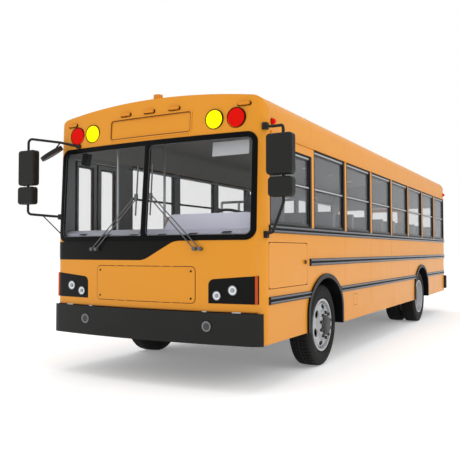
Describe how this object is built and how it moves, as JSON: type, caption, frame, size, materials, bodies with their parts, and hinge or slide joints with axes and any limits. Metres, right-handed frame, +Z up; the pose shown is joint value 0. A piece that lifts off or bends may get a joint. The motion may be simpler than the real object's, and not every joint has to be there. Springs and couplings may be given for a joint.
{
  "type": "electric school bus",
  "caption": "Flat-fronted electric school bus with a folding-leaf service door, rear emergency door, steered front wheels and rear twin wheels.",
  "frame": {"origin": "middle of the bus on the ground, at the bottom centre of its bounding box", "axes": "+X to the driver's left side, nose facing -Y, +Y rearwards, +Z up"},
  "size_m": [3.395, 9.4163, 2.957],
  "materials": {
    "body_paint": "satin orange-yellow paint",
    "black_trim": "fine-grained black",
    "dark_frame": "black anodised",
    "clear_lamp": "clear lens over a bright reflector",
    "clear_glass": "lightly tinted",
    "red_lens": "smooth lens",
    "yellow_lens": "smooth lens",
    "floor_covering": "ribbed",
    "chassis_paint": "satin black",
    "battery_case": "powder coated",
    "dash_plastic": "grained light grey",
    "wheel_grip": "soft black",
    "seat_vinyl": "dark grey vinyl",
    "tan_vinyl": "tan vinyl",
    "rail_steel": "brushed tube",
    "wheel_steel": "silver paint",
    "tyre_rubber": "black rubber"
  },
  "bodies": {
    "bus": {"access_panel": "body_paint", "battery_packs": "battery_case", "bumpers": "black_trim", "chassis_frame": "chassis_paint", "clear_lamps": "clear_lamp", "dashboard": "dash_plastic", "driver_seat": "seat_vinyl", "entrance_steps": "floor_covering", "floor": "floor_covering", "front_axle": "chassis_paint", "front_header": "body_paint", "front_panel": "body_paint", "front_trim": "black_trim", "grab_rails": "rail_steel", "left_benches": "seat_vinyl", "left_mirrors": "black_trim", "left_side_panel": "body_paint", "marker_lamps": "body_paint", "rear_axle": "chassis_paint", "rear_wall": "body_paint", "red_lamps": "red_lens", "right_benches": "tan_vinyl", "right_mirrors": "black_trim", "right_side_panel": "body_paint", "roof": "body_paint", "rub_rails": "black_trim", "side_glass": "clear_glass", "wheel_arches": "black_trim", "window_frames": "dark_frame", "window_posts": "body_paint", "windscreen_gasket": "black_trim", "windscreen_glass": "clear_glass", "wipers": "black_trim", "yellow_lamps": "yellow_lens"},
    "left_steering": {"left_knuckle": "chassis_paint"},
    "right_steering": {"right_knuckle": "chassis_paint"},
    "tie_rod": {"tie_rod": "chassis_paint"},
    "left_front_roller": {"left_front_wheel": "wheel_steel", "left_front_tyre": "tyre_rubber"},
    "right_front_roller": {"right_front_wheel": "wheel_steel", "right_front_tyre": "tyre_rubber"},
    "left_rear_roller": {"left_rear_wheels": "wheel_steel", "left_rear_tyres": "tyre_rubber"},
    "right_rear_roller": {"right_rear_wheels": "wheel_steel", "right_rear_tyres": "tyre_rubber"},
    "helm": {"steering_wheel": "wheel_grip"},
    "front_door_leaf": {"door_front_leaf": "body_paint", "door_front_glass": "clear_glass"},
    "rear_door_leaf": {"door_rear_leaf": "body_paint", "door_rear_glass": "clear_glass"},
    "exit_door": {"emergency_door": "body_paint", "emergency_glass": "clear_glass"},
    "hatch": {"driver_hatch": "body_paint"},
    "flap": {"charge_flap": "body_paint"}
  },
  "joints": [
    {"name": "left_steer", "type": "hinge", "parent": "bus", "child": "left_steering", "pos_m": [1.04, -2.815, 0.45], "axis": [0, 0, 1], "range_deg": [-35, 35]},
    {"name": "right_steer", "type": "hinge", "parent": "bus", "child": "right_steering", "pos_m": [-1.04, -2.815, 0.45], "axis": [0, 0, 1], "range_deg": [-35, 35]},
    {"name": "tie_rod_shift", "type": "slide", "parent": "bus", "child": "tie_rod", "axis": [1, 0, 0], "range_m": [-0.13, 0.13]},
    {"name": "helm_turn", "type": "hinge", "parent": "bus", "child": "helm", "pos_m": [0.632, -3.8, 1.632], "axis": [0, 0.5299, 0.848], "range_deg": [-630, 630]},
    {"name": "left_front_spin", "type": "hinge", "parent": "left_steering", "child": "left_front_roller", "pos_m": [1.132, -2.815, 0.465], "axis": [1, 0, 0], "continuous": true},
    {"name": "right_front_spin", "type": "hinge", "parent": "right_steering", "child": "right_front_roller", "pos_m": [-1.132, -2.815, 0.465], "axis": [1, 0, 0], "continuous": true},
    {"name": "left_rear_spin", "type": "hinge", "parent": "bus", "child": "left_rear_roller", "pos_m": [1, 2.27, 0.465], "axis": [1, 0, 0], "continuous": true},
    {"name": "right_rear_spin", "type": "hinge", "parent": "bus", "child": "right_rear_roller", "pos_m": [-1, 2.27, 0.465], "axis": [1, 0, 0], "continuous": true},
    {"name": "front_door_swing", "type": "hinge", "parent": "bus", "child": "front_door_leaf", "pos_m": [-1.302, -4.214, 1.4], "axis": [0, 0, 1], "range_deg": [0, 90]},
    {"name": "rear_door_swing", "type": "hinge", "parent": "bus", "child": "rear_door_leaf", "pos_m": [-1.302, -3.431, 1.4], "axis": [0, 0, 1], "range_deg": [-90, 0]},
    {"name": "exit_door_swing", "type": "hinge", "parent": "bus", "child": "exit_door", "pos_m": [-0.368, 4.616, 1.6], "axis": [0, 0, 1], "range_deg": [0, 110]},
    {"name": "hatch_swing", "type": "hinge", "parent": "bus", "child": "hatch", "pos_m": [1.301, -4.339, 1.18], "axis": [0, 0, 1], "range_deg": [-100, 0]},
    {"name": "flap_swing", "type": "hinge", "parent": "bus", "child": "flap", "pos_m": [1.299, -1.807, 0.686], "axis": [0, 0, 1], "range_deg": [-110, 0]}
  ],
  "couplings": [
    {"joint": "right_steer", "follows": "left_steer", "ratio": 1},
    {"joint": "tie_rod_shift", "follows": "left_steer", "m_per_rad": -0.21},
    {"joint": "helm_turn", "follows": "left_steer", "ratio": 18},
    {"joint": "rear_door_swing", "follows": "front_door_swing", "ratio": -1}
  ]
}
